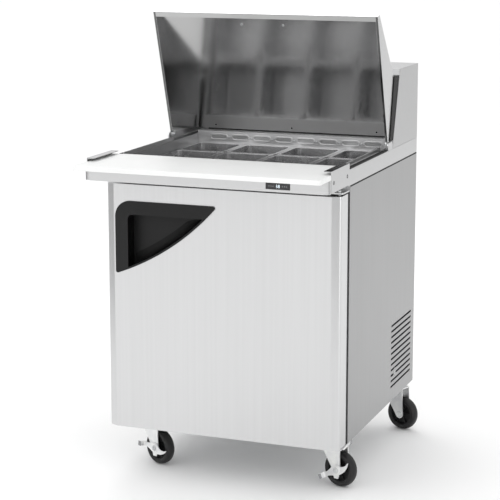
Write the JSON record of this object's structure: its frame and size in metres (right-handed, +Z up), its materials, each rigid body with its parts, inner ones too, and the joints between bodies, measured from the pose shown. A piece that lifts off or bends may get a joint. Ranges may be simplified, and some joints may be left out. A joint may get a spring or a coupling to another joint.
{
  "type": "sandwich prep table",
  "caption": "Refrigerated sandwich prep table: one-door base on swivel casters, topping rail of pans under a tilting lid, fixed hood and a cutting board along the front.",
  "frame": {"origin": "on the floor under the centre of the bounding box, with the lid open", "axes": "+Z up, +Y towards the back, +X to the right of a user facing the door"},
  "size_m": [0.7536, 0.939, 1.3084],
  "materials": {
    "brushed_steel": "long-grain brushed stainless",
    "polished_steel": "mirror polished stainless",
    "pan_steel": "satin stainless",
    "zinc_steel": "zinc plated, dull",
    "hardware": "bright screw heads and pins",
    "foam": "rigid polyurethane foam",
    "liner": "stucco aluminium lining",
    "black_plastic": "fine-textured black plastic",
    "display": "glossy black lens",
    "board": "white polyethylene with a fine pebble",
    "black_rubber": "black rubber",
    "grey_gasket": "dark grey vinyl bellows",
    "coated_wire": "pale coated wire",
    "black_enamel": "black enamel",
    "coil_fins": "bare aluminium fins",
    "copper": "bare copper tube",
    "wheel_rubber": "black wheel rubber"
  },
  "bodies": {
    "cabinet": {"air_duct": "brushed_steel", "back_panel": "zinc_steel", "base_panel": "zinc_steel", "board_brackets": "brushed_steel", "caster_plates": "zinc_steel", "compressor": "black_enamel", "condenser_coil": "coil_fins", "control_display": "display", "evaporator_coil": "coil_fins", "fan_motors": "black_enamel", "front_apron": "brushed_steel", "hinge_brackets": "brushed_steel", "hood_shell": "brushed_steel", "inner_liner": "liner", "insulation": "foam", "lid_rubbers": "black_rubber", "pan_bars": "pan_steel", "power_inlet": "black_plastic", "refrigerant_lines": "copper", "screws": "hardware", "shelf_supports": "zinc_steel", "side_panel_left": "brushed_steel", "side_panel_right": "brushed_steel", "throat_frame": "black_plastic", "top_rail": "brushed_steel", "wire_shelf": "coated_wire"},
    "cutting_board": {"cutting_board": "board"},
    "lid": {"lid_shell": "brushed_steel", "lid_liner": "polished_steel", "lid_pins": "hardware"},
    "door": {"door_skin": "brushed_steel", "door_core": "foam", "door_liner": "liner", "door_gasket": "grey_gasket", "door_handle": "black_plastic", "door_hinge_pins": "hardware"},
    "condenser_fan": {"condenser_fan": "black_plastic"},
    "evaporator_fan": {"evaporator_fan": "black_plastic"},
    "brake_front_left": {"brake_front_left": "zinc_steel"},
    "brake_front_right": {"brake_front_right": "zinc_steel"},
    "fork_front_left": {"fork_front_left": "zinc_steel"},
    "fork_front_right": {"fork_front_right": "zinc_steel"},
    "fork_rear_left": {"fork_rear_left": "zinc_steel"},
    "fork_rear_right": {"fork_rear_right": "zinc_steel"},
    "pan_1_1": {"pan_1_1": "pan_steel"},
    "pan_1_2": {"pan_1_2": "pan_steel"},
    "pan_1_3": {"pan_1_3": "pan_steel"},
    "pan_1_4": {"pan_1_4": "pan_steel"},
    "pan_2_1": {"pan_2_1": "pan_steel"},
    "pan_2_2": {"pan_2_2": "pan_steel"},
    "pan_2_3": {"pan_2_3": "pan_steel"},
    "pan_2_4": {"pan_2_4": "pan_steel"},
    "pan_3_1": {"pan_3_1": "pan_steel"},
    "pan_3_2": {"pan_3_2": "pan_steel"},
    "pan_3_3": {"pan_3_3": "pan_steel"},
    "pan_3_4": {"pan_3_4": "pan_steel"},
    "wheel_front_left": {"wheel_front_left": "wheel_rubber"},
    "wheel_front_right": {"wheel_front_right": "wheel_rubber"},
    "wheel_rear_left": {"wheel_rear_left": "wheel_rubber"},
    "wheel_rear_right": {"wheel_rear_right": "wheel_rubber"}
  },
  "joints": [
    {"name": "lid_hinge", "type": "hinge", "parent": "cabinet", "child": "lid", "pos_m": [0, 0.1765, 0.93], "axis": [-1, 0, 0], "range_deg": [-72.3, 0]},
    {"name": "door_hinge", "type": "hinge", "parent": "cabinet", "child": "door", "pos_m": [0.33, -0.2485, 0.5], "axis": [0, 0, 1], "range_deg": [0, 120]},
    {"name": "board_slide", "type": "slide", "parent": "cabinet", "child": "cutting_board", "axis": [0, -1, 0], "range_m": [0, 0.25]},
    {"name": "pan_1_1_lift", "type": "slide", "parent": "cabinet", "child": "pan_1_1", "axis": [0, 0, 1], "range_m": [0, 0.12]},
    {"name": "pan_1_2_lift", "type": "slide", "parent": "cabinet", "child": "pan_1_2", "axis": [0, 0, 1], "range_m": [0, 0.12]},
    {"name": "pan_1_3_lift", "type": "slide", "parent": "cabinet", "child": "pan_1_3", "axis": [0, 0, 1], "range_m": [0, 0.12]},
    {"name": "pan_1_4_lift", "type": "slide", "parent": "cabinet", "child": "pan_1_4", "axis": [0, 0, 1], "range_m": [0, 0.12]},
    {"name": "pan_2_1_lift", "type": "slide", "parent": "cabinet", "child": "pan_2_1", "axis": [0, 0, 1], "range_m": [0, 0.12]},
    {"name": "pan_2_2_lift", "type": "slide", "parent": "cabinet", "child": "pan_2_2", "axis": [0, 0, 1], "range_m": [0, 0.12]},
    {"name": "pan_2_3_lift", "type": "slide", "parent": "cabinet", "child": "pan_2_3", "axis": [0, 0, 1], "range_m": [0, 0.12]},
    {"name": "pan_2_4_lift", "type": "slide", "parent": "cabinet", "child": "pan_2_4", "axis": [0, 0, 1], "range_m": [0, 0.12]},
    {"name": "pan_3_1_lift", "type": "slide", "parent": "cabinet", "child": "pan_3_1", "axis": [0, 0, 1], "range_m": [0, 0.09]},
    {"name": "pan_3_2_lift", "type": "slide", "parent": "cabinet", "child": "pan_3_2", "axis": [0, 0, 1], "range_m": [0, 0.09]},
    {"name": "pan_3_3_lift", "type": "slide", "parent": "cabinet", "child": "pan_3_3", "axis": [0, 0, 1], "range_m": [0, 0.09]},
    {"name": "pan_3_4_lift", "type": "slide", "parent": "cabinet", "child": "pan_3_4", "axis": [0, 0, 1], "range_m": [0, 0.09]},
    {"name": "condenser_fan_spin", "type": "hinge", "parent": "cabinet", "child": "condenser_fan", "pos_m": [0.252, 0.332, 0.276], "axis": [1, 0, 0], "continuous": true},
    {"name": "evaporator_fan_spin", "type": "hinge", "parent": "cabinet", "child": "evaporator_fan", "pos_m": [0, 0.343, 0.54], "axis": [0, -1, 0], "continuous": true},
    {"name": "swivel_front_right", "type": "hinge", "parent": "cabinet", "child": "fork_front_right", "pos_m": [0.276, -0.127, 0.128], "axis": [0, 0, 1], "continuous": true},
    {"name": "roll_front_right", "type": "hinge", "parent": "fork_front_right", "child": "wheel_front_right", "pos_m": [0.30607, -0.13795, 0.0508], "axis": [-0.342, -0.9397, 0], "continuous": true},
    {"name": "lever_front_right", "type": "hinge", "parent": "fork_front_right", "child": "brake_front_right", "pos_m": [0.30607, -0.13795, 0.0508], "axis": [-0.342, -0.9397, 0], "range_deg": [-32, 0]},
    {"name": "swivel_front_left", "type": "hinge", "parent": "cabinet", "child": "fork_front_left", "pos_m": [-0.276, -0.127, 0.128], "axis": [0, 0, 1], "continuous": true},
    {"name": "roll_front_left", "type": "hinge", "parent": "fork_front_left", "child": "wheel_front_left", "pos_m": [-0.247, -0.14052, 0.0508], "axis": [-0.4226, -0.9063, 0], "continuous": true},
    {"name": "lever_front_left", "type": "hinge", "parent": "fork_front_left", "child": "brake_front_left", "pos_m": [-0.247, -0.14052, 0.0508], "axis": [-0.4226, -0.9063, 0], "range_deg": [0, 32]},
    {"name": "swivel_rear_right", "type": "hinge", "parent": "cabinet", "child": "fork_rear_right", "pos_m": [0.297, 0.438, 0.128], "axis": [0, 0, 1], "continuous": true},
    {"name": "roll_rear_right", "type": "hinge", "parent": "fork_rear_right", "child": "wheel_rear_right", "pos_m": [0.32726, 0.42758, 0.0508], "axis": [-0.3256, -0.9455, 0], "continuous": true},
    {"name": "swivel_rear_left", "type": "hinge", "parent": "cabinet", "child": "fork_rear_left", "pos_m": [-0.297, 0.438, 0.128], "axis": [0, 0, 1], "continuous": true},
    {"name": "roll_rear_left", "type": "hinge", "parent": "fork_rear_left", "child": "wheel_rear_left", "pos_m": [-0.32726, 0.42758, 0.0508], "axis": [-0.3256, 0.9455, 0], "continuous": true}
  ]
}
